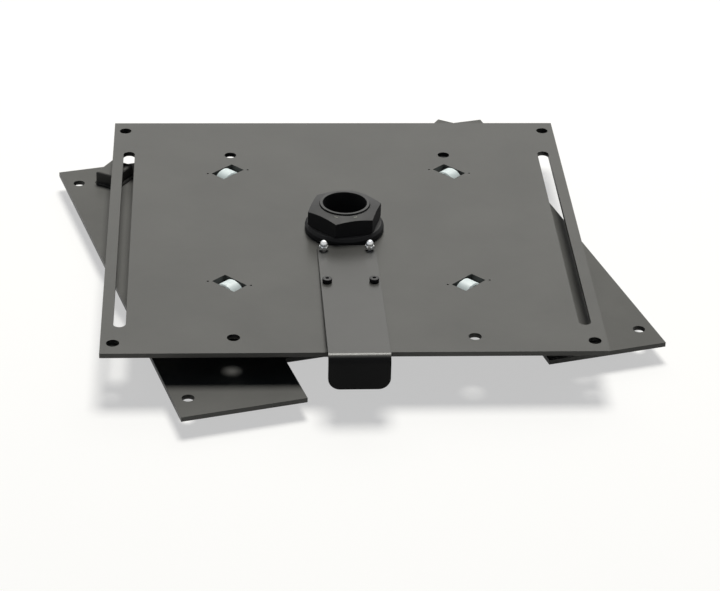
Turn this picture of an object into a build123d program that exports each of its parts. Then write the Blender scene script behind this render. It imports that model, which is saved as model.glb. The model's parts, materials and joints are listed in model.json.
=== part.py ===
from build123d import *
from math import cos, radians, sin, sqrt, tan
import os

os.makedirs("parts", exist_ok=True)

# Plate stack, from the floor up (millimetres, and degrees for angles)
flange_thickness = 12.0
base_thickness = 4.0
plate_gap = 20.0
top_thickness = 4.0

# Bolt pattern that the seat and the seat box share
bolt_spacing_x = 380.0
bolt_spacing_y = 374.0
bolt_thread = 8.0
seat_hole_play = 2.4
base_hole_play = 2.0
weld_nut_across_flats = 14.0
weld_nut_height = 5.0

# Top plate: the metal left round the bolts, the inner holes and the adjusting slots
top_side_margin = 10.0
top_end_margin = 16.0
inner_hole_spacing = 191.0
inner_hole_rear_margin = 65.0
inner_hole_front_margin = 23.4
slot_side_margin = 14.4
slot_front_margin = 40.6
slot_rear_margin = 58.2
slot_width = 10.0

# Base plate: an H turned under the top plate as the object stands, and not quite centred on the pivot
base_turn = 15.4
base_offset = 2.6
base_side_margin = 12.4
base_end_margin = 25.6
notch_width = 202.0
notch_depth = 61.0
notch_corner_radius = 2.0

# Blocks near the rear corners of the base plate
block_length = 21.0
block_width = 28.0
block_height = 12.0
block_corner_inset = 40.5
block_side_offset = 5.0
block_edge = 1.0

# Pivot: a piece of one and a quarter inch pipe with its nut
tube_diameter = 42.4
tube_wall = 2.6
tube_proud = 1.3
tube_edge = 0.4
flange_diameter = 90.0
flange_edge = 1.5
nut_across_flats = 56.0
nut_height = 16.7
nut_corner_angle = -106.0
nut_top_angle = 19.0
nut_foot_angle = 30.0
nut_mouth_chamfer = 0.5
washer_diameter = 67.0
washer_thickness = 7.0
washer_chamfer = 2.4
thrust_gap = 0.1

# Bush that the top plate turns on
bush_wall = 3.6
bush_flange_width = 6.0
bush_flange_thickness = 3.0
bush_recess = 0.3
bush_play = 0.08

# Rollers between the plates, on axles that point at the pivot
roller_x = 98.0
roller_rear_y = 106.0
roller_front_y = 93.0
roller_length = 13.0
roller_edge = 1.0
roller_ride_gap = 0.3
roller_crown_rise = 0.6
roller_end_gap = 0.6
window_end_gap = 3.0
window_side_gap = 1.0
relief_diameter = 1.8
relief_offset = 2.4
axle_diameter = 8.0
axle_play = 0.08
axle_head_diameter = 12.0
axle_head_thickness = 2.0
bracket_sheet = 3.0
bracket_foot = 9.0
bracket_bend = 2.5
ear_wall = 3.0

# Release lever: a strip of sheet with a turned-down lip, resting a little raised and out of square
lever_thickness = 3.0
lever_reach = 192.2
lever_tilt = 2.2
lever_skew = 0.5
lever_travel = 4.0
lever_rear_gap = 1.5
lever_seat_gap = 0.1
bend_radius = 4.5
lip_clearance = 5.5
lip_corner_radius = 9.5
fastener_spacing = 38.4
fastener_side_margin = 5.2
stud_inset = 9.0
screw_inset = 66.2

# Studs and cap nuts that hold the lever's rear end
stud_thread = 4.0
stud_shoulder = 4.6
stud_hole_play = 0.7
cap_nut_across_flats = 7.0
cap_nut_hex_height = 3.2
cap_nut_height = 8.0
cap_nut_dome_diameter = 6.4
cap_nut_crown_flat = 0.8
cap_nut_bore_depth = 5.0
cap_nut_clearance = 0.3

# Locking pins under the lever, and the screws that hold them
pin_diameter = 8.0
pin_tip_chamfer = 1.5
pin_ride_gap = 0.3
guide_play = 0.5
lock_play = 0.5
screw_thread = 4.0
screw_play = 0.2
screw_bite = 10.0
screw_head_diameter = 8.0
screw_head_height = 3.6
screw_socket = 3.0
screw_socket_depth = 2.2

# Levels of the stack
base_top = flange_thickness + base_thickness
top_underside = base_top + plate_gap
top_face = top_underside + top_thickness
washer_underside = top_face + thrust_gap
nut_underside = washer_underside + washer_thickness
nut_top = nut_underside + nut_height
tube_top = nut_top + tube_proud

# Plate sizes that follow from the bolt pattern
top_width = bolt_spacing_x + 2 * top_side_margin
top_depth = bolt_spacing_y + 2 * top_end_margin
base_width = bolt_spacing_x + 2 * base_side_margin
base_depth = bolt_spacing_y + 2 * base_end_margin
seat_hole = bolt_thread + seat_hole_play
base_hole = bolt_thread + base_hole_play
slot_x = top_width / 2 - slot_side_margin
slot_front = slot_front_margin - top_depth / 2
slot_rear = top_depth / 2 - slot_rear_margin
inner_hole_front = inner_hole_front_margin - top_depth / 2
inner_hole_rear = top_depth / 2 - inner_hole_rear_margin

# Pivot and roller sizes that follow from their neighbours
bush_bore = tube_diameter + 2 * bush_play
bush_diameter = bush_bore + 2 * bush_wall
roller_diameter = plate_gap + top_thickness - roller_ride_gap + roller_crown_rise
axle_level = base_top + roller_ride_gap + roller_diameter / 2
ear_inner = roller_length / 2 + roller_end_gap
ear_outer = ear_inner + bracket_sheet
ear_radius = axle_diameter / 2 + ear_wall
roller_half_chord = sqrt((roller_diameter / 2) ** 2 - (top_underside - axle_level) ** 2)
window_length = 2 * (roller_half_chord + window_end_gap)
window_width = roller_length + 2 * window_side_gap
bracket_length = window_length + 2 * bracket_foot

# Each roller has its place, and the direction in which its axle points away from the pivot
roller_places = {
    "rear_right": (roller_x, roller_rear_y, 45),
    "rear_left": (-roller_x, roller_rear_y, 135),
    "front_left": (-roller_x, -roller_front_y, 225),
    "front_right": (roller_x, -roller_front_y, 315),
}

# The lever turns on its rear lower edge, and its plane is its underside as it rests
lever_width = fastener_spacing + 2 * fastener_side_margin
hinge_y = washer_diameter / 2 + lever_rear_gap
lever_level = top_face + lever_seat_gap
tilt = radians(lever_tilt)
skew = radians(lever_skew)
lifted = radians(lever_tilt + lever_travel)
lever_plane = Plane(
    origin=(0, -hinge_y, lever_level),
    x_dir=(cos(skew), sin(skew), 0),
    z_dir=(-sin(skew) * sin(tilt), cos(skew) * sin(tilt), cos(tilt)),
)
flat_lever_plane = Plane(origin=lever_plane.origin, x_dir=lever_plane.x_dir, z_dir=(0, 0, 1))
lever_normal = Axis(lever_plane.origin, lever_plane.z_dir)
lever_side_plane = Plane(origin=lever_plane.origin, x_dir=-lever_plane.y_dir, z_dir=-lever_plane.x_dir)
stud_points = [(side * fastener_spacing / 2, -stud_inset) for side in (-1, 1)]
screw_points = [(side * fastener_spacing / 2, -screw_inset) for side in (-1, 1)]

# The lip ends just above the base plate, and the pins' tips ride on it
lip_bottom_rise = lever_level + lever_reach * sin(tilt) - base_top - lip_clearance
lip_height = lip_bottom_rise / cos(tilt) + lever_thickness
pin_tip_drop = (pin_diameter / 2 - pin_tip_chamfer) * sin(tilt)
pin_length = (lever_level + screw_inset * sin(tilt) - pin_tip_drop - base_top - pin_ride_gap) / cos(tilt)


def pin_setback(angle, drop):
    """How far in front of the lever's rear edge a pin's axis crosses a level, the drop below that edge."""
    depth = (screw_inset * sin(angle) + drop) / cos(angle)
    return screw_inset * cos(angle) + depth * sin(angle)


# Guide slots let the pins through the top plate at any height of the lever
guide_near = pin_setback(tilt, lever_seat_gap)
guide_far = pin_setback(lifted, lever_seat_gap + top_thickness)
guide_width = pin_diameter + 2 * guide_play
guide_length = guide_width + guide_far - guide_near
guide_setback = (guide_near + guide_far) / 2

# The cap nuts sit just above the lever at the top of its travel
cap_nut_corner = cap_nut_across_flats / 2 / cos(radians(30))
lever_top_rise = (stud_inset + cap_nut_corner) * sin(lifted) + lever_thickness * cos(lifted)
cap_nut_seat = lever_level + lever_top_rise + cap_nut_clearance


# Base plate, an H of flat steel with bolt holes at its corners
base_place = Location((0, 0, flange_thickness), (0, 0, base_turn))
with BuildPart() as base_plate:
    with BuildSketch(Plane(base_place)):
        with Locations((base_offset, 0)):
            Rectangle(base_width, base_depth)
            with GridLocations(0, base_depth, 1, 2):
                RectangleRounded(notch_width, 2 * notch_depth, notch_corner_radius, mode=Mode.SUBTRACT)
            with GridLocations(bolt_spacing_x, bolt_spacing_y, 2, 2):
                Circle(base_hole / 2, mode=Mode.SUBTRACT)
        Circle(tube_diameter / 2, mode=Mode.SUBTRACT)
        # Locking holes for the seat facing forwards and backwards
        for facing in (0, 180):
            with Locations(Location((0, 0, 0), (0, 0, facing))):
                with Locations(Location((0, -hinge_y, 0), (0, 0, lever_skew))):
                    with Locations(*screw_points):
                        Circle(pin_diameter / 2 + lock_play, mode=Mode.SUBTRACT)
    extrude(amount=base_thickness)
base_plate.part.label = "base_plate"
export_step(base_plate.part, "parts/base_plate.step")

# Blocks welded on the base plate beside its rear corners, square to the corner's diagonal
block_outer = (base_width + base_depth) / 2 / sqrt(2) - block_corner_inset
for name, direction, rear_side in (("left", 135, -1), ("right", 45, 1)):
    block_plane = Plane(base_place * Location((base_offset, 0, base_thickness), (0, 0, direction)))
    block_centre = (block_outer - block_length / 2, rear_side * (block_side_offset + block_width / 2))
    with BuildPart() as block:
        with BuildSketch(block_plane):
            with Locations(block_centre):
                Rectangle(block_length, block_width)
        extrude(amount=block_height)
        chamfer(block.faces().sort_by(Axis.Z)[-1].edges(), block_edge)
    block.part.label = f"base_block_{name}"
    export_step(block.part, f"parts/base_block_{name}.step")

# Pivot tube, welded through the base plate into its flange
with BuildPart() as pivot_tube:
    with BuildSketch():
        Circle(tube_diameter / 2)
        Circle(tube_diameter / 2 - tube_wall, mode=Mode.SUBTRACT)
    extrude(amount=tube_top)
    chamfer(pivot_tube.faces().sort_by(Axis.Z)[-1].edges(), tube_edge)
pivot_tube.part.label = "pivot_tube"
export_step(pivot_tube.part, "parts/pivot_tube.step")

# Flange under the base plate, which the whole object stands on
with BuildPart() as pivot_flange:
    with BuildSketch():
        Circle(flange_diameter / 2)
        Circle(tube_diameter / 2, mode=Mode.SUBTRACT)
    extrude(amount=flange_thickness)
    chamfer(pivot_flange.faces().sort_by(Axis.Z)[0].edges().sort_by(SortBy.LENGTH)[-1], flange_edge)
pivot_flange.part.label = "pivot_flange"
export_step(pivot_flange.part, "parts/pivot_flange.step")

# Thick washer with a broad chamfer, clamped under the nut
with BuildPart() as thrust_washer:
    with BuildSketch(Plane.XY.offset(washer_underside)):
        Circle(washer_diameter / 2)
        Circle(tube_diameter / 2, mode=Mode.SUBTRACT)
    extrude(amount=washer_thickness)
    chamfer(thrust_washer.faces().sort_by(Axis.Z)[-1].edges().sort_by(SortBy.LENGTH)[-1], washer_chamfer)
thrust_washer.part.label = "thrust_washer"
export_step(thrust_washer.part, "parts/thrust_washer.step")

# Pipe nut, its top turned to a flat cone from the mouth to the corners, with a smaller cone below
nut_corner = nut_across_flats / 2 / cos(radians(30))
nut_mouth_radius = tube_diameter / 2 + nut_mouth_chamfer
corner_drop = (nut_corner - nut_mouth_radius) * tan(radians(nut_top_angle))
foot_drop = (nut_corner - nut_across_flats / 2) / 2 * tan(radians(nut_foot_angle))
with BuildPart() as pivot_nut:
    with BuildSketch(Plane.XY.offset(nut_underside)):
        RegularPolygon(nut_corner, 6, rotation=nut_corner_angle)
        Circle(tube_diameter / 2, mode=Mode.SUBTRACT)
    extrude(amount=nut_height)
    with BuildSketch(Plane.XZ):
        with BuildLine():
            Polyline(
                (0, nut_underside),
                ((nut_corner + nut_across_flats / 2) / 2, nut_underside),
                (nut_corner, nut_underside + foot_drop),
                (nut_corner, nut_top - corner_drop),
                (nut_mouth_radius, nut_top),
                (tube_diameter / 2, nut_top - nut_mouth_chamfer),
                (0, nut_top - nut_mouth_chamfer),
                close=True,
            )
        make_face()
    revolve(axis=Axis.Z, mode=Mode.INTERSECT)
pivot_nut.part.label = "pivot_nut"
export_step(pivot_nut.part, "parts/pivot_nut.step")

# Top plate with its bolt holes, adjusting slots, roller windows and guide slots
with BuildPart() as top_plate:
    with BuildSketch(Plane.XY.offset(top_underside)):
        Rectangle(top_width, top_depth)
        Circle(bush_diameter / 2, mode=Mode.SUBTRACT)
        with GridLocations(bolt_spacing_x, bolt_spacing_y, 2, 2):
            Circle(seat_hole / 2, mode=Mode.SUBTRACT)
        with Locations((0, inner_hole_front), (0, inner_hole_rear)):
            with GridLocations(inner_hole_spacing, 0, 2, 1):
                Circle(seat_hole / 2, mode=Mode.SUBTRACT)
        with Locations((0, (slot_front + slot_rear) / 2)):
            with GridLocations(2 * slot_x, 0, 2, 1):
                SlotOverall(slot_rear - slot_front, slot_width, rotation=90, mode=Mode.SUBTRACT)
        for x, y, direction in roller_places.values():
            with Locations(Location((x, y, 0), (0, 0, direction))):
                Rectangle(window_width, window_length, mode=Mode.SUBTRACT)
            # Small reliefs beyond the two window corners that lie furthest apart across the plate
            across = 1 if x * y > 0 else -1
            relief_x = window_width / 2 + relief_offset
            relief_y = window_length / 2 + relief_offset
            with Locations(Location((x, y, 0), (0, 0, direction))):
                with Locations((relief_x, -across * relief_y), (-relief_x, across * relief_y)):
                    Circle(relief_diameter / 2, mode=Mode.SUBTRACT)
        with Locations(Location((0, -hinge_y, 0), (0, 0, lever_skew))):
            with Locations((0, -guide_setback)):
                with GridLocations(fastener_spacing, 0, 2, 1):
                    SlotOverall(guide_length, guide_width, rotation=90, mode=Mode.SUBTRACT)
    extrude(amount=top_thickness)
top_plate.part.label = "top_plate"
export_step(top_plate.part, "parts/top_plate.step")

# Weld nuts under the seat's bolt holes
with BuildPart() as seat_weld_nuts:
    with BuildSketch(Plane.XY.offset(top_underside)):
        with GridLocations(bolt_spacing_x, bolt_spacing_y, 2, 2):
            RegularPolygon(weld_nut_across_flats / 2, 6, major_radius=False)
            Circle(bolt_thread / 2, mode=Mode.SUBTRACT)
    extrude(amount=-weld_nut_height)
seat_weld_nuts.part.label = "seat_weld_nuts"
export_step(seat_weld_nuts.part, "parts/seat_weld_nuts.step")

# Bush pressed up into the top plate, with a flange below it
with BuildPart() as pivot_bush:
    with BuildSketch(Plane.XY.offset(top_underside)):
        Circle(bush_diameter / 2 + bush_flange_width)
    extrude(amount=-bush_flange_thickness)
    with BuildSketch(Plane.XY.offset(top_underside)):
        Circle(bush_diameter / 2)
    extrude(amount=top_thickness - bush_recess)
    with BuildSketch(Plane.XY.offset(top_face)):
        Circle(bush_bore / 2)
    extrude(amount=-top_thickness - bush_flange_thickness, mode=Mode.SUBTRACT)
pivot_bush.part.label = "pivot_bush"
export_step(pivot_bush.part, "parts/pivot_bush.step")

# Roller carriages: a folded bracket, an axle and a roller at each window
for corner, (x, y, direction) in roller_places.items():
    away = radians(direction)
    roller_plane = Plane(
        origin=(x, y, axle_level),
        x_dir=(-sin(away), cos(away), 0),
        z_dir=(cos(away), sin(away), 0),
    )
    foot_plane = Plane.XY.offset(top_underside)
    foot_rise = top_underside - axle_level

    with BuildPart() as bracket:
        with BuildSketch(foot_plane):
            with Locations(Location((x, y, 0), (0, 0, direction))):
                Rectangle(2 * ear_outer, bracket_length)
                Rectangle(2 * ear_inner, window_length, mode=Mode.SUBTRACT)
        extrude(amount=-bracket_sheet)
        for offset in (ear_inner, -ear_outer):
            with BuildSketch(roller_plane.offset(offset)):
                Circle(ear_radius)
                with Locations((0, foot_rise - bracket_sheet / 2)):
                    Rectangle(bracket_length, bracket_sheet)
                make_hull()
                with Locations((0, foot_rise)):
                    above_foot = (Align.CENTER, Align.MIN)
                    Rectangle(bracket_length, ear_radius, align=above_foot, mode=Mode.SUBTRACT)
                Circle(axle_diameter / 2, mode=Mode.SUBTRACT)
            extrude(amount=bracket_sheet)
        # The folds along the foot's two long edges
        along_axle_plane = bracket.edges().filter_by(Axis(roller_plane.origin, roller_plane.x_dir))
        folds = along_axle_plane.group_by(Axis.Z)[-1].sort_by(SortBy.LENGTH)[-2:]
        fillet(folds, bracket_bend)
    bracket.part.label = f"roller_bracket_{corner}"
    export_step(bracket.part, f"parts/roller_bracket_{corner}.step")

    with BuildPart() as axle:
        with BuildSketch(roller_plane):
            Circle(axle_diameter / 2)
        extrude(amount=ear_outer, both=True)
        for outside in (ear_outer, -ear_outer - axle_head_thickness):
            with BuildSketch(roller_plane.offset(outside)):
                Circle(axle_head_diameter / 2)
            extrude(amount=axle_head_thickness)
    axle.part.label = f"roller_axle_{corner}"
    export_step(axle.part, f"parts/roller_axle_{corner}.step")

    with BuildPart() as roller:
        with BuildSketch(roller_plane):
            Circle(roller_diameter / 2)
            Circle(axle_diameter / 2 + axle_play, mode=Mode.SUBTRACT)
        extrude(amount=roller_length / 2, both=True)
        rims = roller.edges().filter_by(GeomType.CIRCLE).group_by(SortBy.RADIUS)[-1]
        chamfer(rims, roller_edge)
    roller.part.label = f"roller_{corner}"
    export_step(roller.part, f"parts/roller_{corner}.step")

# Release lever, a strip bent down at the front into a lip with rounded corners
with BuildPart() as release_lever:
    with BuildSketch(lever_side_plane) as lever_side:
        Rectangle(lever_reach, lever_thickness, align=(Align.MIN, Align.MIN))
        with Locations((lever_reach, lever_thickness)):
            Rectangle(lever_thickness, lip_height, align=(Align.MAX, Align.MAX))
        outer_corner = lever_side.vertices().sort_by_distance((lever_reach, lever_thickness))[0]
        fillet(outer_corner, bend_radius + lever_thickness)
        inner_corner = lever_side.vertices().sort_by_distance((lever_reach - lever_thickness, 0))[0]
        fillet(inner_corner, bend_radius)
    extrude(amount=lever_width / 2, both=True)
    across_sheet = release_lever.edges().filter_by(Axis(lever_plane.origin, lever_plane.y_dir))
    lip_corners = across_sheet.sort_by(lever_normal)[:2]
    fillet(lip_corners, lip_corner_radius)
    with BuildSketch(lever_plane):
        with Locations(*stud_points):
            Circle(stud_shoulder / 2 + stud_hole_play)
        with Locations(*screw_points):
            Circle(screw_thread / 2 + screw_play)
    extrude(amount=lever_thickness, mode=Mode.SUBTRACT)
release_lever.part.label = "release_lever"
export_step(release_lever.part, "parts/release_lever.step")

# Locking pins, tapped for the screws that hold them up against the lever
with BuildPart() as locking_pins:
    with BuildSketch(lever_plane):
        with Locations(*screw_points):
            Circle(pin_diameter / 2)
    extrude(amount=-pin_length)
    tips = locking_pins.faces().filter_by(lever_plane).group_by(lever_normal)[0]
    chamfer(tips.edges(), pin_tip_chamfer)
    with BuildSketch(lever_plane):
        with Locations(*screw_points):
            Circle(screw_thread / 2)
    extrude(amount=-screw_bite, mode=Mode.SUBTRACT)
locking_pins.part.label = "locking_pins"
export_step(locking_pins.part, "parts/locking_pins.step")

# Socket head screws through the lever into the pins
with BuildPart() as lever_screws:
    with BuildSketch(lever_plane.offset(lever_thickness)):
        with Locations(*screw_points):
            Circle(screw_head_diameter / 2)
    extrude(amount=screw_head_height)
    with BuildSketch(lever_plane.offset(lever_thickness)):
        with Locations(*screw_points):
            Circle(screw_thread / 2)
    extrude(amount=-lever_thickness - screw_bite)
    with BuildSketch(lever_plane.offset(lever_thickness + screw_head_height)):
        with Locations(*screw_points):
            RegularPolygon(screw_socket / 2, 6, major_radius=False)
    extrude(amount=-screw_socket_depth, mode=Mode.SUBTRACT)
lever_screws.part.label = "lever_screws"
export_step(lever_screws.part, "parts/lever_screws.step")

# Shouldered studs on the top plate that the lever's rear end tilts on
with BuildPart() as lever_studs:
    with BuildSketch(flat_lever_plane.offset(-lever_seat_gap)):
        with Locations(*stud_points):
            Circle(stud_shoulder / 2)
    extrude(amount=cap_nut_seat - top_face)
    with BuildSketch(flat_lever_plane.offset(cap_nut_seat - lever_level)):
        with Locations(*stud_points):
            Circle(stud_thread / 2)
    extrude(amount=cap_nut_bore_depth)
lever_studs.part.label = "lever_studs"
export_step(lever_studs.part, "parts/lever_studs.step")

# Domed cap nuts on the studs
with BuildPart() as lever_cap_nuts:
    with BuildSketch(flat_lever_plane.offset(cap_nut_seat - lever_level)):
        with Locations(*stud_points):
            RegularPolygon(cap_nut_across_flats / 2, 6, major_radius=False)
    extrude(amount=cap_nut_hex_height)
    with BuildSketch(flat_lever_plane.offset(cap_nut_seat - lever_level)):
        with Locations(*stud_points):
            Circle(cap_nut_dome_diameter / 2)
    extrude(amount=cap_nut_height)
    crowns = lever_cap_nuts.faces().filter_by(Axis.Z).group_by(Axis.Z)[-1]
    fillet(crowns.edges(), (cap_nut_dome_diameter - cap_nut_crown_flat) / 2)
    with BuildSketch(flat_lever_plane.offset(cap_nut_seat - lever_level)):
        with Locations(*stud_points):
            Circle(stud_thread / 2)
    extrude(amount=cap_nut_bore_depth, mode=Mode.SUBTRACT)
lever_cap_nuts.part.label = "lever_cap_nuts"
export_step(lever_cap_nuts.part, "parts/lever_cap_nuts.step")
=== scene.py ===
# %% [markdown]
# A swivel seat base, dressed for its portrait. The packed CAD model is the frame: it gives every
# piece its size, its place and the body that it moves with. This lesson adds what CAD leaves out,
# which is finishes, rounded edges, threads and weld seams, and then the floor, the light and the camera.

# %% Load the frame
import json
from math import cos, degrees, floor, inf, pi, radians, sin, tan

import bmesh
import bpy
from mathutils import Matrix, Quaternion, Vector


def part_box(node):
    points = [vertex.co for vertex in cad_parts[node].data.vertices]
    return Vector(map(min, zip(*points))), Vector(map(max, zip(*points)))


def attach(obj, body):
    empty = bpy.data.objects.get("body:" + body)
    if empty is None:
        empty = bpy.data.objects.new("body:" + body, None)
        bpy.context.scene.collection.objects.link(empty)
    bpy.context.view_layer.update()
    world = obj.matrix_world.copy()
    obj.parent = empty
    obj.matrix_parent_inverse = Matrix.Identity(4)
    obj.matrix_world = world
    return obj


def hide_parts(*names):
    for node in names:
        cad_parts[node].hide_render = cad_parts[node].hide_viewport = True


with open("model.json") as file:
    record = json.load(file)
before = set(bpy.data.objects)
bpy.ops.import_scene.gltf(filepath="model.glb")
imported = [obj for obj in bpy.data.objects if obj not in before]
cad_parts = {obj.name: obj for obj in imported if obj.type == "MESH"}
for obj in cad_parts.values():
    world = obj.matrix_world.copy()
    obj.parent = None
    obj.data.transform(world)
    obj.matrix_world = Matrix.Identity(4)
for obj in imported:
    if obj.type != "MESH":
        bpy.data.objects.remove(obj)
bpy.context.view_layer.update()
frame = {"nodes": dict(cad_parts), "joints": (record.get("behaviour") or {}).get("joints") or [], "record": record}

MM = 0.001

# %% [markdown]
# The camera sees what the photograph shows, from about two metres off, thirty degrees above the plate
# and rolled a little. It could stand closer with a wider lens, but the plate's sides are nearly parallel
# in the picture, and only a long lens keeps them so.

# %% Camera
CAMERA_PLACE = Vector((-0.111, -1.923, 1.082))
CAMERA_AIM = Vector((0.0076, -0.114, 0.040))
CAMERA_ROLL = radians(1.62)
CAMERA_LENS = 128.9
SENSOR_WIDTH = 36.0

scene = bpy.context.scene
camera = bpy.data.objects.new("camera", bpy.data.cameras.new("camera"))
camera.data.lens = CAMERA_LENS
camera.data.sensor_fit = "HORIZONTAL"
camera.data.sensor_width = SENSOR_WIDTH
camera.location = CAMERA_PLACE
camera.rotation_mode = "QUATERNION"
level_view = (CAMERA_AIM - CAMERA_PLACE).to_track_quat("-Z", "Y")
camera.rotation_quaternion = level_view @ Quaternion((0, 0, 1), CAMERA_ROLL)
scene.collection.objects.link(camera)
scene.camera = camera
print("the camera is", round((CAMERA_AIM - CAMERA_PLACE).length, 3), "m from what it looks at")

# %% [markdown]
# A finish is a graph of shader nodes. It could be wired by hand, one link after another, but that hides
# the idea in bookkeeping. So a socket is wrapped in a small class that does arithmetic: `1 - mask` adds
# its Math node by itself. Every other kind of node comes from one method of the finish it belongs to.

# %% Shader sockets that do arithmetic
class Value:
    """A shader socket that takes part in Python arithmetic, one Math node for each operator."""

    def __init__(self, finish, socket):
        self.finish = finish
        self.socket = socket

    def math(self, operation, first, second):
        return self.finish.node("ShaderNodeMath", {"operation": operation}, {0: first, 1: second})

    def __add__(self, other):
        return self.math("ADD", self, other)

    def __sub__(self, other):
        return self.math("SUBTRACT", self, other)

    def __rsub__(self, other):
        return self.math("SUBTRACT", other, self)

    def __mul__(self, other):
        return self.math("MULTIPLY", self, other)

    def __abs__(self):
        return self.math("ABSOLUTE", self, 0.0)

    __radd__ = __add__
    __rmul__ = __mul__


class Finish:
    """A node tree in the making. Its node method adds any node and hands back one of its outputs."""

    # A Mix node keeps its sockets for numbers, vectors and colours side by side. These are for colours.
    MIX_FIRST = 6
    MIX_SECOND = 7
    MIX_RESULT = 2

    def __init__(self, tree):
        self.tree = tree
        tree.nodes.clear()

    def node(self, kind, settings=None, inputs=None, output=0):
        made = self.tree.nodes.new(kind)
        for key, value in (settings or {}).items():
            if key == "stops":
                self.set_stops(made.color_ramp, value)
            else:
                setattr(made, key, value)
        for key, value in (inputs or {}).items():
            if isinstance(value, Value):
                self.tree.links.new(value.socket, made.inputs[key])
            else:
                made.inputs[key].default_value = value
        return Value(self, made.outputs[output]) if made.outputs else None

    @staticmethod
    def set_stops(ramp, stops):
        """Gives a ramp its stops, each a position from 0 to 1 and a grey level."""
        while len(ramp.elements) < len(stops):
            ramp.elements.new(1.0)
        for element, (position, grey) in zip(ramp.elements, stops):
            element.position = position
            element.color = (grey, grey, grey, 1.0)

    def place(self):
        """The point on the surface, in the piece's own metres."""
        return self.node("ShaderNodeTexCoord", output="Object")

    def noise(self, size, detail=2.0):
        """Cloudy grey noise whose lumps are about the given size in metres."""
        sockets = {"Vector": self.place(), "Scale": 1.0 / size, "Detail": detail}
        return self.node("ShaderNodeTexNoise", inputs=sockets)

    def ramp(self, value, *stops):
        return self.node("ShaderNodeValToRGB", {"stops": stops}, {"Fac": value})

    def mix(self, factor, first, second):
        """A colour between two others."""
        sockets = {0: factor, self.MIX_FIRST: (*first, 1.0), self.MIX_SECOND: (*second, 1.0)}
        return self.node("ShaderNodeMix", {"data_type": "RGBA"}, sockets, output=self.MIX_RESULT)

    def bump(self, height, depth, under=None):
        """A surface pushed in and out by up to the given depth in metres, on top of another bump."""
        sockets = {"Height": height, "Distance": depth}
        if under:
            sockets["Normal"] = under
        return self.node("ShaderNodeBump", inputs=sockets)

    def principled(self, **sockets):
        """A Principled shader. Underscores stand for the spaces in its socket names."""
        named = {key.replace("_", " "): value for key, value in sockets.items()}
        return self.node("ShaderNodeBsdfPrincipled", inputs=named)

    def blend(self, factor, first, second):
        """Two shaders laid over each other."""
        return self.node("ShaderNodeMixShader", inputs={0: factor, 1: first, 2: second})

    def end(self, shader):
        self.node("ShaderNodeOutputMaterial", inputs={"Surface": shader})


def new_finish(name):
    """An empty material, and the finish that fills it."""
    material = bpy.data.materials.new(name)
    material.use_nodes = True
    return material, Finish(material.node_tree)


print("a finish is made with", [word for word in vars(Finish) if word.islower() and word[0] != "_"])

# %% [markdown]
# The plates and the blocks are steel under a dark grey powder coat, and the lever has a blacker one with
# more sheen. Powder melts into a skin with a fine orange peel. Level faces get the coat with some sheen,
# and edges and upright faces get a copy with less sheen, which is painted shade. The lever's upright copy
# is also coloured nearly black, which is painted shade on its lip. One shader can't be both, so there are
# two, and the direction of the surface mixes them. The base plate was coated in another batch, paler and
# with hardly any sheen.

# %% Powder coat
TOP_COLOURS = ((0.072, 0.072, 0.069), (0.090, 0.090, 0.086))
BASE_COLOURS = ((0.106, 0.106, 0.103), (0.130, 0.130, 0.126))
EDGE_COLOURS = ((0.078, 0.078, 0.076), (0.098, 0.098, 0.095))
LEVER_COLOURS = ((0.040, 0.040, 0.038), (0.052, 0.052, 0.050))
# Painted shade: the lever's upright faces, its lip most of all, take these near-black colours.
LIP_SHADE_COLOURS = ((0.0060, 0.0062, 0.0066), (0.0100, 0.0102, 0.0106))
TOP_SHINE = 0.13
BASE_SHINE = 0.02
LEVER_SHINE = 0.27
# Less sheen on edges and upright faces than on level ones: painted shade.
UPRIGHT_SHADE_SHINE = 0.05
CLOUD_SIZE = 55 * MM
CLOUD_SHARE = 0.6
THIN_COAT = (0.35, 0.0)
THICK_COAT = (0.68, 1.0)
PEEL_SIZE = 1.1 * MM
PEEL_DEPTH = 0.010 * MM
GRAIN_SIZE = 0.35 * MM
GRAIN_DEPTH = 0.003 * MM
COAT_ROUGHNESS = 0.26
COAT_ROUGHNESS_RANGE = 0.10
UPRIGHT_FACE = (0.72, 0.0)
LEVEL_FACE = (0.88, 1.0)


def levelness(finish):
    """0 on upright faces and 1 on level ones, above and below, with a soft step between: the mask that paints
    shade on upright faces.
    """
    normal = finish.node("ShaderNodeNewGeometry", output="Normal")
    upward = finish.node("ShaderNodeSeparateXYZ", inputs={0: normal}, output="Z")
    return finish.ramp(abs(upward), UPRIGHT_FACE, LEVEL_FACE)


def powder_coat(name, shine, colours, side_colours):
    material, coat = new_finish(name)
    clouds = coat.noise(size=CLOUD_SIZE, detail=4.0)
    grain = coat.noise(size=GRAIN_SIZE, detail=1.0)
    thickness = coat.ramp(clouds * CLOUD_SHARE + grain * (1 - CLOUD_SHARE), THIN_COAT, THICK_COAT)
    peel = coat.bump(coat.noise(size=PEEL_SIZE, detail=1.0), PEEL_DEPTH)
    normal = coat.bump(grain, GRAIN_DEPTH, under=peel)
    skin = {"Roughness": COAT_ROUGHNESS + clouds * COAT_ROUGHNESS_RANGE, "Normal": normal}
    sides = coat.mix(thickness, *side_colours)
    tops = coat.mix(thickness, *colours)
    # The upright copy is painted shade, and the level copy carries the sheen.
    upright_shaded = coat.principled(Base_Color=sides, Specular_IOR_Level=UPRIGHT_SHADE_SHINE, **skin)
    level_sheened = coat.principled(Base_Color=tops, Specular_IOR_Level=shine, **skin)
    coat.end(coat.blend(levelness(coat), upright_shaded, level_sheened))
    return material


top_coat = powder_coat("powder_coat", TOP_SHINE, TOP_COLOURS, EDGE_COLOURS)
base_coat = powder_coat("powder_coat_base", BASE_SHINE, BASE_COLOURS, EDGE_COLOURS)
lever_coat = powder_coat("powder_coat_lever", LEVER_SHINE, LEVER_COLOURS, LIP_SHADE_COLOURS)
print("each powder coat has", len(top_coat.node_tree.nodes), "shader nodes")
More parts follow.
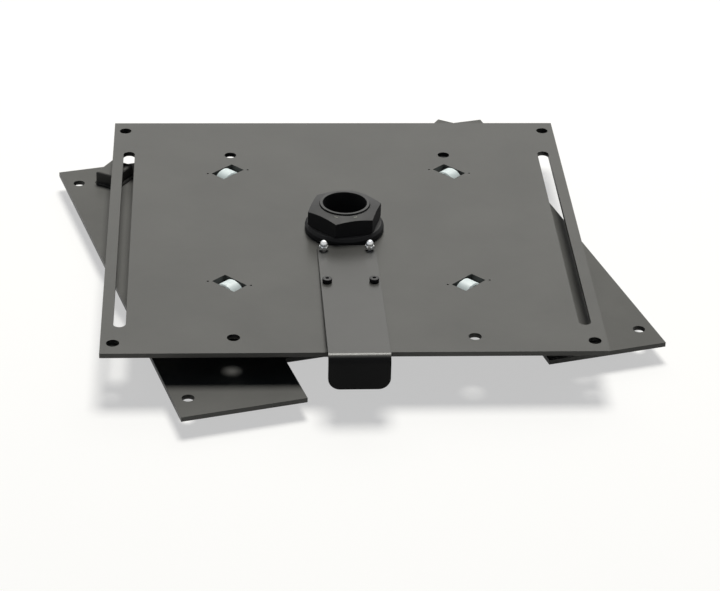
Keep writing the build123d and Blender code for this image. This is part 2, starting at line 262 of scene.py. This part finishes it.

# %% [markdown]
# The pivot's tube, nut and washer are blackened steel under a film of oil, duller than the powder and
# darker still. Upright faces get less sheen than level ones, which is painted shade. They came off a lathe,
# which leaves fine rings round the axis. The rings are too shallow to be worth cutting into a mesh, so bump
# draws them: noise that is read by the distance from the axis, plus the height, gives rings on flat and on
# round faces alike. The small screws and axles have the same black, a little glossier and without the rings.

# %% Blackened steel
STEEL_DARK = (0.0040, 0.0042, 0.0050)
STEEL_PALE = (0.0090, 0.0092, 0.0100)
BLOTCH_SIZE = 9 * MM
DARK_BLOTCH = (0.40, 0.0)
PALE_BLOTCH = (0.72, 1.0)
RING_SIZE = 0.5 * MM
SPECK_SIZE = 0.4 * MM
MARK_DEPTH = 0.005 * MM
STEEL_ROUGHNESS = 0.52
STEEL_ROUGHNESS_RANGE = 0.20
OIL_SHINE = 0.38
# Less sheen on upright faces than on level ones: painted shade.
STEEL_UPRIGHT_SHADE_SHINE = 0.14
SCREW_SHINE = 0.42
WITHOUT_HEIGHT = (1, 1, 0)


def lathe_rings(steel):
    """Noise that changes with the distance from the axis and with the height, but not round the axis."""
    flattening = {0: steel.place(), 1: WITHOUT_HEIGHT}
    across = steel.node("ShaderNodeVectorMath", {"operation": "MULTIPLY"}, flattening)
    reach = steel.node("ShaderNodeVectorMath", {"operation": "LENGTH"}, {0: across}, output="Value")
    height = steel.node("ShaderNodeSeparateXYZ", inputs={0: steel.place()}, output="Z")
    sockets = {"W": reach + height, "Scale": 1.0 / RING_SIZE, "Detail": 2.0}
    return steel.node("ShaderNodeTexNoise", {"noise_dimensions": "1D"}, sockets)


def blackened_steel(name, shine, rings):
    material, steel = new_finish(name)
    blotches = steel.noise(size=BLOTCH_SIZE, detail=5.0)
    colour = steel.mix(steel.ramp(blotches, DARK_BLOTCH, PALE_BLOTCH), STEEL_DARK, STEEL_PALE)
    marks = lathe_rings(steel) if rings else steel.noise(size=SPECK_SIZE)
    normal = steel.bump(marks, MARK_DEPTH)
    roughness = STEEL_ROUGHNESS + blotches * STEEL_ROUGHNESS_RANGE
    skin = {"Base_Color": colour, "Roughness": roughness, "Normal": normal}
    # Upright faces take the copy with less sheen, which is painted shade.
    upright_shaded = steel.principled(Specular_IOR_Level=STEEL_UPRIGHT_SHADE_SHINE, **skin)
    level_oil_sheen = steel.principled(Specular_IOR_Level=shine, **skin)
    steel.end(steel.blend(levelness(steel), upright_shaded, level_oil_sheen))
    return material


turned_black = blackened_steel("turned_black_steel", OIL_SHINE, rings=True)
small_black = blackened_steel("small_black_steel", SCREW_SHINE, rings=False)
print("turned steel has", len(turned_black.node_tree.nodes), "shader nodes, with its rings")

# %% [markdown]
# The small bright hardware is zinc plated: metal, faintly blue, with cloudy patches where the plating
# bath left it duller. One even colour and gloss would look like chrome, so the same noise tints the metal
# and dulls it. The two stake marks that lock the nut are bare steel, scored by the punch: the same
# recipe, darker and with finer patches.

# %% Bright metals
ZINC_BLUE = (0.56, 0.59, 0.63)
ZINC_WARM = (0.63, 0.63, 0.61)
ZINC_PATCH_SIZE = 4 * MM
ZINC_ROUGHNESS = 0.20
BARE_DARK = (0.06, 0.06, 0.055)
BARE_PALE = (0.12, 0.12, 0.11)
BARE_PATCH_SIZE = 0.6 * MM
BARE_ROUGHNESS = 0.42
COOL_PATCH = (0.35, 0.0)
WARM_PATCH = (0.65, 1.0)
PATCH_ROUGHNESS_RANGE = 0.15
METAL_GRAIN_SIZE = 0.3 * MM
METAL_GRAIN_DEPTH = 0.002 * MM


def bright_metal(name, cool, warm, patch_size, smoothest):
    material, metal = new_finish(name)
    patches = metal.noise(size=patch_size, detail=4.0)
    colour = metal.mix(metal.ramp(patches, COOL_PATCH, WARM_PATCH), cool, warm)
    normal = metal.bump(metal.noise(size=METAL_GRAIN_SIZE), METAL_GRAIN_DEPTH)
    roughness = smoothest + patches * PATCH_ROUGHNESS_RANGE
    metal.end(metal.principled(Base_Color=colour, Metallic=1.0, Roughness=roughness, Normal=normal))
    return material


zinc_plate = bright_metal("zinc_plate", ZINC_BLUE, ZINC_WARM, ZINC_PATCH_SIZE, ZINC_ROUGHNESS)
bare_steel = bright_metal("bare_steel", BARE_DARK, BARE_PALE, BARE_PATCH_SIZE, BARE_ROUGHNESS)
print("a bright metal has", len(zinc_plate.node_tree.nodes), "shader nodes")

# %% [markdown]
# The rollers are white nylon: slightly waxy, cool in tone, with the faint mottling of a turned plastic.
# Light that seeps into the plastic could be traced, but the rollers show only a strip in their windows,
# so a soft gloss over two close whites does as well.

# %% Nylon
NYLON_WHITE = (0.64, 0.72, 0.74)
NYLON_SHADE = (0.57, 0.65, 0.67)
MOTTLE_SIZE = 6 * MM
WHITE_MOTTLE = (0.35, 0.0)
SHADED_MOTTLE = (0.70, 1.0)
WAX_WAVE_SIZE = 0.8 * MM
WAX_WAVE_DEPTH = 0.010 * MM
NYLON_ROUGHNESS = 0.36
NYLON_ROUGHNESS_RANGE = 0.12


def nylon():
    material, plastic = new_finish("nylon")
    mottle = plastic.noise(size=MOTTLE_SIZE, detail=3.0)
    colour = plastic.mix(plastic.ramp(mottle, WHITE_MOTTLE, SHADED_MOTTLE), NYLON_WHITE, NYLON_SHADE)
    normal = plastic.bump(plastic.noise(size=WAX_WAVE_SIZE), WAX_WAVE_DEPTH)
    roughness = NYLON_ROUGHNESS + mottle * NYLON_ROUGHNESS_RANGE
    plastic.end(plastic.principled(Base_Color=colour, Roughness=roughness, Normal=normal))
    return material


white_nylon = nylon()
print("nylon has", len(white_nylon.node_tree.nodes), "shader nodes")

# %% [markdown]
# The bush that the top plate turns on is sintered bronze, pressed from powder, with open pores that hold
# oil. Pores could be modelled one by one, but there are thousands: instead the low spots of a fine noise
# become pores, and that one mask darkens, dulls and sinks them together. The darkening is the oil in
# the pores and also painted shade in their holes.

# %% Bronze
BRONZE_BRIGHT = (0.48, 0.30, 0.13)
# The pore colour: the oil in the pores, and painted shade in their holes.
BRONZE_PORE = (0.20, 0.12, 0.05)
PORE_SIZE = 0.5 * MM
PORE_FLOOR = (0.36, 1.0)
PORE_RIM = (0.44, 0.0)
PORE_DEPTH = 0.03 * MM
BRONZE_ROUGHNESS = 0.34
PORE_ROUGHNESS_RANGE = 0.3


def bronze():
    material, metal = new_finish("bronze")
    pores = metal.ramp(metal.noise(size=PORE_SIZE, detail=3.0), PORE_FLOOR, PORE_RIM)
    colour = metal.mix(pores, BRONZE_BRIGHT, BRONZE_PORE)
    normal = metal.bump(1 - pores, PORE_DEPTH)
    roughness = BRONZE_ROUGHNESS + pores * PORE_ROUGHNESS_RANGE
    metal.end(metal.principled(Base_Color=colour, Metallic=1.0, Roughness=roughness, Normal=normal))
    return material


porous_bronze = bronze()
print("bronze has", len(porous_bronze.node_tree.nodes), "shader nodes")

# %% [markdown]
# A list of nodes with their finishes would have to follow every change of the model. Each CAD node names
# a material slot in the record, so the finishes are handed out by slot instead. A few nodes depart from
# it: the base plate and its blocks have the paler batch, the lever has its own blacker coat, and the
# axles have no lathe rings.

# %% Every node takes its finish
finishes = {
    "powder_coat": top_coat,
    "black_steel": turned_black,
    "zinc_steel": zinc_plate,
    "nylon": white_nylon,
    "bronze": porous_bronze,
}
slot_of = {row["node"]: row["material_slot"] for row in frame["record"]["subparts"]}


def finish_of(node_name):
    if node_name.startswith("base_"):
        return base_coat
    if node_name == "release_lever":
        return lever_coat
    if node_name.startswith("roller_axle"):
        return small_black
    return finishes[slot_of[node_name]]


for name, node in frame["nodes"].items():
    node.data.materials.clear()
    node.data.materials.append(finish_of(name))
worn_finishes = {finish_of(name).name for name in frame["nodes"]}
print("finished", len(frame["nodes"]), "nodes in", len(worn_finishes), "finishes")

# %% [markdown]
# No sawn or pressed edge is perfectly sharp, and paint rounds it further. The rounding could be part of
# the CAD model, at the price of many small faces. Here the frame's own meshes stay as they are, and
# modifiers round them: Weld joins the corners that the file stores apart, Decimate merges the flat
# triangles into whole faces, Bevel rounds what turns sharply, and Weighted Normal keeps the flats
# looking flat.

# %% Rounded edges
EDGE_ROUNDING = {
    "top_plate": 0.45 * MM,
    "base_plate": 0.45 * MM,
    "base_block_left": 0.4 * MM,
    "base_block_right": 0.4 * MM,
    "pivot_flange": 0.4 * MM,
    "release_lever": 0.4 * MM,
    "pivot_nut": 0.5 * MM,
    "thrust_washer": 0.4 * MM,
    "seat_weld_nuts": 0.3 * MM,
}
CORNER_JOIN = 0.002 * MM
FLAT_ANGLE = radians(0.3)
SHARP_ANGLE = radians(28)
ROUNDING_STEPS = 2
LARGE_FACES_FIRST = 100


def round_edges(piece, width):
    weld = piece.modifiers.new("weld", "WELD")
    weld.merge_threshold = CORNER_JOIN
    merge = piece.modifiers.new("flats", "DECIMATE")
    merge.decimate_type = "DISSOLVE"
    merge.angle_limit = FLAT_ANGLE
    bevel = piece.modifiers.new("rounding", "BEVEL")
    bevel.width = width
    bevel.segments = ROUNDING_STEPS
    bevel.limit_method = "ANGLE"
    bevel.angle_limit = SHARP_ANGLE
    normals = piece.modifiers.new("normals", "WEIGHTED_NORMAL")
    normals.weight = LARGE_FACES_FIRST


for name, width in EDGE_ROUNDING.items():
    round_edges(frame["nodes"][name], width)
print("rounded", len(EDGE_ROUNDING), "pieces")

# %% [markdown]
# Turned pieces could be made by spinning a profile, but then every section is a circle. Here they are
# rows of points round an axis, joined into quads. A row has a height and a radius, and the radius may
# depend on the angle: that one idea gives a thread, a knurl and a hexagon.

# %% Turned pieces
SMOOTH_ANGLE = radians(35)


def join_rings(shape, rings):
    """Joins each ring of points to the next one with a band of quads."""
    for first, second in zip(rings, rings[1:]):
        for step, corner in enumerate(first):
            after = (step + 1) % len(first)
            shape.faces.new((corner, first[after], second[after], second[step]))


def close_ends(shape, rings):
    shape.faces.new(rings[0])
    shape.faces.new(rings[-1])


def turned_rings(shape, rows, segments, place):
    """Adds a turned surface to a bmesh, one ring of points for each row, and hands back the rings."""
    rings = []
    for height, radius in rows:
        ring = []
        for step in range(segments):
            angle = 2 * pi * step / segments
            reach = radius(angle) if callable(radius) else radius
            spot = Vector((reach * cos(angle), reach * sin(angle), height))
            ring.append(shape.verts.new(place @ spot))
        rings.append(ring)
    join_rings(shape, rings)
    return rings


def keep_piece(name, shape, body, material, replaced=()):
    """Makes a piece of a bmesh: its finish, the body that it rides on and the nodes that it stands for."""
    bmesh.ops.recalc_face_normals(shape, faces=shape.faces)
    mesh = bpy.data.meshes.new(name)
    shape.to_mesh(mesh)
    shape.free()
    mesh.shade_smooth()
    mesh.set_sharp_from_angle(angle=SMOOTH_ANGLE)
    mesh.materials.append(material)
    piece = bpy.data.objects.new(name, mesh)
    scene.collection.objects.link(piece)
    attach(piece, body)
    if replaced:
        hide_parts(*replaced)
    print(name, "has", len(mesh.polygons), "faces and rides on", body)


print("faces that turn by less than", round(degrees(SMOOTH_ANGLE)), "degrees are shaded as one")

# %% [markdown]
# The pivot is a piece of one and a quarter inch pipe, and its upper end carries the pipe thread that
# the nut runs on. The thread could be swept along a helix, but a groove that climbs one pitch in each
# turn is only a triangle wave of height and angle together. It runs out inside the nut, where nothing
# shows it, and it is worn away near the rim, which is left as wide as the pipe's wall.

# %% Threaded pivot pipe
PIPE_WALL = 2.6 * MM
PIPE_EDGE = 0.25 * MM
THREAD_PITCH = 2.309 * MM
THREAD_DEPTH = 1.1 * MM
THREAD_TURNS = 5
LEAD_IN = 1.2 * MM
ROWS_PER_TURN = 12
PIPE_SEGMENTS = 144

tube_low, tube_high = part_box("pivot_tube")
pipe_foot = tube_low[2]
pipe_rim = tube_high[2]
pipe_radius = tube_high[0]
bore_radius = pipe_radius - PIPE_WALL
thread_start = pipe_rim - THREAD_TURNS * THREAD_PITCH


def thread_radius(height):
    """The pipe's outer radius as a function of the angle, at one height of the thread."""
    def radius(angle):
        climb = (pipe_rim - height) / THREAD_PITCH + angle / (2 * pi)
        groove = 1 - abs(2 * (climb - floor(climb)) - 1)
        fade = min(1.0, (height - thread_start) / THREAD_PITCH, (pipe_rim - height) / LEAD_IN)
        chamfer = max(0.0, height - (pipe_rim - PIPE_EDGE))
        return pipe_radius - max(chamfer, THREAD_DEPTH * groove * fade)
    return radius


pipe_rows = [(pipe_foot, bore_radius), (pipe_foot, pipe_radius)]
for row in range(THREAD_TURNS * ROWS_PER_TURN + 1):
    height = thread_start + THREAD_PITCH * row / ROWS_PER_TURN
    pipe_rows.append((height, thread_radius(height)))
pipe_rows.append((pipe_rim, bore_radius + PIPE_EDGE))
pipe_rows.append((pipe_rim - PIPE_EDGE, bore_radius))
pipe = bmesh.new()
pipe_rings = turned_rings(pipe, pipe_rows, PIPE_SEGMENTS, Matrix.Identity(4))
join_rings(pipe, [pipe_rings[-1], pipe_rings[0]])
keep_piece("pivot_pipe", pipe, "base", finishes["black_steel"], ["pivot_tube"])

# %% [markdown]
# Two small bright marks at the nut's mouth lock it to the pipe: a fitter strikes the edge with a punch,
# and the steel is left bare there. Spots of colour would do from one side only, because the real marks
# stand up and catch the light. So each is a flat oval pip with a dent in it, sunk in the nut's top, which
# is a flat cone.

# %% Stake marks
STAKE_ANGLES = (radians(-110.6), radians(-70.6))
STAKE_RADIUS = 1.0 * MM
STAKE_SPREAD = 2.0
STAKE_RISE = 0.35 * MM
STAKE_FLANK = ((-1.0, 0.5), (-0.2, 1.0), (0.6, 0.8), (1.0, 0.55))
STAKE_DENT = 0.25 * MM
STAKE_DENT_RADIUS = 0.1 * MM
STAKE_GAP = 2.9 * MM
STAKE_SEGMENTS = 20
NUT_MOUTH = 0.5 * MM
NUT_SLOPE = radians(19)

nut_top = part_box("pivot_nut")[1][2]
stake_rows = [(rise * STAKE_RISE, reach * STAKE_RADIUS) for rise, reach in STAKE_FLANK]
stake_rows.append((STAKE_RISE - STAKE_DENT, STAKE_DENT_RADIUS))
stakes = bmesh.new()
stake_height = nut_top - (STAKE_GAP - NUT_MOUTH) * tan(NUT_SLOPE)
on_cone = Matrix.Translation((pipe_radius + STAKE_GAP, 0, stake_height)) @ Matrix.Rotation(NUT_SLOPE, 4, "Y")
for angle in STAKE_ANGLES:
    spot = Matrix.Rotation(angle, 4, "Z") @ on_cone @ Matrix.Diagonal((1, STAKE_SPREAD, 1, 1))
    close_ends(stakes, turned_rings(stakes, stake_rows, STAKE_SEGMENTS, spot))
keep_piece("stake_marks", stakes, "base", bare_steel)

# %% [markdown]
# Two bright cap nuts hold the rear end of the lever. A hexagon on a lathe is a radius that grows from the
# middle of a flat to its corner. Where a cone cuts the corners off, the smaller of the two radii wins:
# that is how a real nut is made from hexagon bar, and it needs no cutting of one mesh by another. No two
# nuts stop at the same turn, so each has its own.

# %% Domed cap nuts
FASTENER_SPACING = 38.4 * MM
LEVER_SKEW = radians(0.5)
CAP_FLATS = 7.0 * MM
CAP_HEX_HEIGHT = 3.2 * MM
CAP_COLLAR = 0.9 * MM
CAP_DOME_RADIUS = 3.2 * MM
CAP_CHAMFER = 0.45 * MM
CAP_CORNER_LEFT = 0.05 * MM
CAP_CROWN = 0.4 * MM
CAP_SEGMENTS = 72
CAP_TURNS = {-1: radians(35), 1: radians(20)}
DOME_ROWS = 10


def hexagon(across_flats, limit=inf):
    """The radius of a hexagon by angle, turned down to a limit."""
    def radius(angle):
        off_flat = (angle + pi / 6) % (pi / 3) - pi / 6
        return min(across_flats / 2 / cos(off_flat), limit)
    return radius


cap_low, cap_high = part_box("lever_cap_nuts")
cap_height = cap_high[2] - cap_low[2]
sharp_hexagon = hexagon(CAP_FLATS)
cut_hexagon = hexagon(CAP_FLATS, CAP_FLATS / 2 + CAP_CORNER_LEFT)
cap_rows = [
    (0, CAP_DOME_RADIUS),
    (0, cut_hexagon),
    (CAP_CHAMFER, sharp_hexagon),
    (CAP_HEX_HEIGHT - CAP_CHAMFER, sharp_hexagon),
    (CAP_HEX_HEIGHT, cut_hexagon),
    (CAP_HEX_HEIGHT, CAP_DOME_RADIUS),
]
dome_base = CAP_HEX_HEIGHT + CAP_COLLAR
for row in range(DOME_ROWS + 1):
    swing = 0.5 * pi * row / DOME_ROWS
    reach = CAP_CROWN + (CAP_DOME_RADIUS - CAP_CROWN) * cos(swing)
    cap_rows.append((dome_base + (cap_height - dome_base) * sin(swing), reach))
cap_nuts = bmesh.new()
cap_y = (cap_low[1] + cap_high[1]) / 2
for side, turn in CAP_TURNS.items():
    across = side * FASTENER_SPACING / 2
    spot = Matrix.Translation((across * cos(LEVER_SKEW), cap_y + across * sin(LEVER_SKEW), cap_low[2]))
    spot = spot @ Matrix.Rotation(turn, 4, "Z")
    close_ends(cap_nuts, turned_rings(cap_nuts, cap_rows, CAP_SEGMENTS, spot))
keep_piece("cap_nuts", cap_nuts, "turntable", finishes["zinc_steel"], ["lever_cap_nuts"])

# %% [markdown]
# The two screws that hold the locking pins have knurled round heads with a hexagon socket. They stand
# square to the lever, which rests a little raised. They could be placed one by one, but built on the
# lever's own plane they can't miss it: its hinge line is in the record, and its skew and tilt are values
# of this script.

# %% Socket screws
LEVER_TILT = radians(2.2)
LEVER_SHEET = 3.0 * MM
SCREW_INSET = 66.2 * MM
HEAD_RADIUS = 4.0 * MM
HEAD_HEIGHT = 3.6 * MM
HEAD_EDGE = 0.35 * MM
SHANK_RADIUS = 1.95 * MM
SHANK_LENGTH = 12.5 * MM
SOCKET_FLATS = 3.0 * MM
SOCKET_DEPTH = 2.2 * MM
KNURL_RIBS = 36
KNURL_DEPTH = 0.16 * MM
SCREW_SEGMENTS = 180

lift = next(joint for joint in frame["joints"] if joint["name"] == "lever_lift")
lever_place = Matrix.Translation(lift["pos_m"]) @ Matrix.Rotation(LEVER_SKEW, 4, "Z")
lever_place = lever_place @ Matrix.Rotation(-LEVER_TILT, 4, "X")


def knurl(angle):
    """The head's radius by angle, with one rounded rib after another."""
    return HEAD_RADIUS - KNURL_DEPTH * abs(sin(angle * KNURL_RIBS / 2))


socket = hexagon(SOCKET_FLATS)
screw_rows = [
    (-SHANK_LENGTH, SHANK_RADIUS),
    (0, SHANK_RADIUS),
    (0, HEAD_RADIUS - HEAD_EDGE),
    (HEAD_EDGE, knurl),
    (HEAD_HEIGHT - HEAD_EDGE, knurl),
    (HEAD_HEIGHT, HEAD_RADIUS - 2 * HEAD_EDGE),
    (HEAD_HEIGHT, socket),
    (HEAD_HEIGHT - SOCKET_DEPTH, socket),
]
screws = bmesh.new()
for side in (-1, 1):
    seat = Matrix.Translation((side * FASTENER_SPACING / 2, -SCREW_INSET, LEVER_SHEET))
    close_ends(screws, turned_rings(screws, screw_rows, SCREW_SEGMENTS, lever_place @ seat))
keep_piece("socket_screws", screws, "lever", small_black, ["lever_screws"])

# %% [markdown]
# The flange, the pipe and the blocks are welded to the base plate, and the roller brackets to the top
# plate. A weld seam is a round bead, half sunk in its corner, with curved ripples where the pool set
# time after time. Bump would leave the bead's outline smooth, so the ripples are in the mesh: it is a tube
# along a path whose radius swells once in each ripple. It was painted with the rest.

# %% Weld seams
UP = Vector((0, 0, 1))
RIPPLE = 1.7 * MM
RIPPLE_SWELL = 0.10
RIPPLE_CURVE = 0.9
STEPS_PER_RIPPLE = 6
SEAM_SIDES = 12
SEAM_TIP = 0.3


def seam_ring(shape, point, along, radius, ripples):
    """One ring of a bead, at a point of its path, after so many ripples."""
    side = along.cross(UP)
    ring = []
    for step in range(SEAM_SIDES):
        angle = 2 * pi * step / SEAM_SIDES
        swell = 1 + RIPPLE_SWELL * cos(2 * pi * ripples + RIPPLE_CURVE * cos(angle))
        spot = point + radius * swell * (cos(angle) * UP + sin(angle) * side)
        ring.append(shape.verts.new(spot))
    return ring


def straight_seam(shape, start, end, radius):
    """A bead from one point to another, drawn in to a rounded tip at both ends."""
    run = end - start
    count = round(run.length / RIPPLE * STEPS_PER_RIPPLE)
    rings = []
    for step in range(count + 1):
        tip = SEAM_TIP + run.length * min(step, count - step) / count / radius
        point = start + run * step / count
        girth = radius * min(1.0, tip)
        rings.append(seam_ring(shape, point, run.normalized(), girth, step / STEPS_PER_RIPPLE))
    join_rings(shape, rings)
    close_ends(shape, rings)


def round_seam(shape, reach, height, radius):
    """A bead all the way round the pivot's axis."""
    count = round(2 * pi * reach / RIPPLE) * STEPS_PER_RIPPLE
    rings = []
    for step in range(count):
        angle = 2 * pi * step / count
        point = Vector((reach * cos(angle), reach * sin(angle), height))
        along = Vector((-sin(angle), cos(angle), 0))
        rings.append(seam_ring(shape, point, along, radius, step / STEPS_PER_RIPPLE))
    join_rings(shape, rings + rings[:1])


print("a seam has", SEAM_SIDES * STEPS_PER_RIPPLE, "faces in each ripple")

# %% [markdown]
# Two of the seams are rings: one in the corner between the flange and the base plate's underside, and
# one where the pipe comes up through the plate. Their sizes could be typed in, but read from the frame
# they stay in their corners when the model changes.

# %% Seams at the pivot
PIVOT_SEAM_RADIUS = 2.3 * MM

base_low, base_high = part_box("base_plate")
flange_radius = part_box("pivot_flange")[1][0]
pivot_seams = bmesh.new()
round_seam(pivot_seams, flange_radius, base_low[2], PIVOT_SEAM_RADIUS)
round_seam(pivot_seams, pipe_radius, base_high[2], PIVOT_SEAM_RADIUS)
keep_piece("pivot_welds", pivot_seams, "base", base_coat)

# %% [markdown]
# A block is welded all round. It stands askew, so the box round it has the wrong corners. They come from
# its own mesh instead: the lowest points, sorted round their middle, are the four corners that the seams
# run between.

# %% Seams beside the blocks
BLOCK_SEAM_RADIUS = 2.2 * MM
CORNERS_APART = 1.0 * MM
FOOT_TOLERANCE = 0.01 * MM


def block_foot(name):
    """A block's four lower corners, in order round it."""
    points = [vertex.co for vertex in frame["nodes"][name].data.vertices]
    lowest = min(point.z for point in points)
    corners = []
    for point in points:
        apart = all((point - corner).length > CORNERS_APART for corner in corners)
        if apart and point.z < lowest + FOOT_TOLERANCE:
            corners.append(point)
    middle = sum(corners, Vector()) / len(corners)
    east = Vector((1, 0))
    return sorted(corners, key=lambda corner: (corner - middle).to_2d().angle_signed(east))


block_seams = bmesh.new()
for name in ("base_block_left", "base_block_right"):
    foot = block_foot(name)
    for first, second in zip(foot, foot[1:] + foot[:1]):
        straight_seam(block_seams, first, second, BLOCK_SEAM_RADIUS)
keep_piece("block_welds", block_seams, "base", base_coat)

# %% [markdown]
# Each roller bracket is welded to the underside of the top plate by a short seam at both ends of its
# foot. The brackets stand askew, each a quarter turn from the next. Nothing is placed by hand: a bracket's
# place and its axle's direction are those of its roller's joint in the record.

# %% Seams at the roller brackets
BRACKET_HALF = 21.5 * MM
BRACKET_SEAM_HALF = 6.5 * MM
BRACKET_SEAM_RADIUS = 1.6 * MM

plate_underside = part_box("top_plate")[0][2]
bracket_seams = bmesh.new()
for joint in frame["joints"]:
    if joint["name"].startswith("roller_spin"):
        axle = Vector(joint["axis"])
        middle = Vector((*joint["pos_m"][:2], plate_underside))
        for end in (-BRACKET_HALF, BRACKET_HALF):
            seam_middle = middle + axle.cross(UP) * end
            half = axle * BRACKET_SEAM_HALF
            straight_seam(bracket_seams, seam_middle - half, seam_middle + half, BRACKET_SEAM_RADIUS)
keep_piece("bracket_welds", bracket_seams, "turntable", finishes["powder_coat"])

# %% [markdown]
# The floor is a plain white sheet. More light would make it white, but it would wash out the object too.
# So to the camera, and in reflections, part of it glows and reads as white paper, and the rest is ordinary
# diffuse white, which keeps the object's soft shadow. Far from the object the glow takes over, so that no
# horizon shows. All other rays see only the diffuse white, so the floor lights nothing by itself. The
# world does the same: white where it is seen, and a low bluish light everywhere else.

# %% Floor and world
FLOOR_HALF = 9.0
FLOOR_WHITE = (0.96, 0.96, 0.96, 1.0)
PAPER_WHITE = (1.0, 1.0, 1.0, 1.0)
PAPER_STRENGTH = 1.0
GLOW_SHARE = 0.53
NEAR_FLOOR = 0.08
FAR_FLOOR = 0.40
SKY_COLOUR = (0.70, 0.83, 1.0, 1.0)
SKY_STRENGTH = 0.03


def seen_rays(finish):
    """1 for rays that show the surface itself: from the camera, a mirror or glass."""
    kinds = ("Is Camera Ray", "Is Glossy Ray", "Is Transmission Ray")
    camera_ray, glossy_ray, clear_ray = (finish.node("ShaderNodeLightPath", output=kind) for kind in kinds)
    return camera_ray.math("MAXIMUM", camera_ray.math("MAXIMUM", camera_ray, glossy_ray), clear_ray)


paper_material, paper = new_finish("floor_paper")
sheet = paper.node("ShaderNodeBsdfDiffuse", inputs={"Color": FLOOR_WHITE})
glow = paper.node("ShaderNodeEmission", inputs={"Color": PAPER_WHITE, "Strength": PAPER_STRENGTH})
reach = paper.node("ShaderNodeVectorMath", {"operation": "LENGTH"}, {0: paper.place()}, output="Value")
share = seen_rays(paper) * paper.ramp(reach * (1 / FLOOR_HALF), (NEAR_FLOOR, GLOW_SHARE), (FAR_FLOOR, 1.0))
paper.end(paper.blend(share, sheet, glow))

floor_mesh = bpy.data.meshes.new("floor")
floor_corners = [(x * FLOOR_HALF, y * FLOOR_HALF, 0) for x, y in ((-1, -1), (1, -1), (1, 1), (-1, 1))]
floor_mesh.from_pydata(floor_corners, [], [(0, 1, 2, 3)])
floor_mesh.materials.append(paper_material)
floor_sheet = bpy.data.objects.new("floor", floor_mesh)
scene.collection.objects.link(floor_sheet)

scene.world = bpy.data.worlds.new("studio")
scene.world.use_nodes = True
studio = Finish(scene.world.node_tree)
ambient = studio.node("ShaderNodeBackground", inputs={"Color": SKY_COLOUR, "Strength": SKY_STRENGTH})
backdrop = studio.node("ShaderNodeBackground", inputs={"Color": PAPER_WHITE, "Strength": PAPER_STRENGTH})
studio_shader = studio.blend(seen_rays(studio), ambient, backdrop)
studio.node("ShaderNodeOutputWorld", inputs={"Surface": studio_shader})
print("floor of", 2 * FLOOR_HALF, "m, glow share", GLOW_SHARE)

# %% [markdown]
# A round soft box hangs high behind the object and throws the shadows forwards. A broad, dim panel stands
# lower behind it, where the plates mirror it towards the camera: that is the sheen on their tops, and why
# the nut darkens the lever in front of it. A light at the front would fill the shadows under the plates,
# so the front gets only what the white floor and the dim world give. Each light is given by its direction,
# distance, size and brightness.

# %% Light
KEY_DIRECTION = Vector((0.05, 0.45, 0.89)).normalized()
KEY_DISTANCE = 10.0
KEY_SIZE = (4.2, 4.2)
KEY_BRIGHTNESS = 25.4
PANEL_DIRECTION = Vector((0.09, 0.81, 0.58)).normalized()
PANEL_DISTANCE = 3.0
PANEL_SIZE = (3.0, 1.5)
PANEL_BRIGHTNESS = 1.20
LAMP_COLOUR = (1.0, 0.985, 0.93)


def soft_light(name, shape, direction, distance, size, brightness):
    """An area light that faces the object. Brightness is its radiance, so its power grows with its area."""
    light = bpy.data.lights.new(name, "AREA")
    light.shape = shape
    light.size, light.size_y = size
    area = size[0] * size[1] * (pi / 4 if shape == "DISK" else 1)
    light.energy = pi * area * brightness
    light.color = LAMP_COLOUR
    lamp = bpy.data.objects.new(name, light)
    lamp.location = direction * distance
    lamp.rotation_mode = "QUATERNION"
    lamp.rotation_quaternion = direction.to_track_quat("Z", "Y")
    lamp.visible_camera = False
    scene.collection.objects.link(lamp)
    print(name, "of", round(light.energy, 1), "W at", distance, "m")


soft_light("key", "DISK", KEY_DIRECTION, KEY_DISTANCE, KEY_SIZE, KEY_BRIGHTNESS)
soft_light("panel", "RECTANGLE", PANEL_DIRECTION, PANEL_DISTANCE, PANEL_SIZE, PANEL_BRIGHTNESS)
scene.view_settings.view_transform = "Standard"

# %% [markdown] The dressed model must stay inside the CAD model's box.
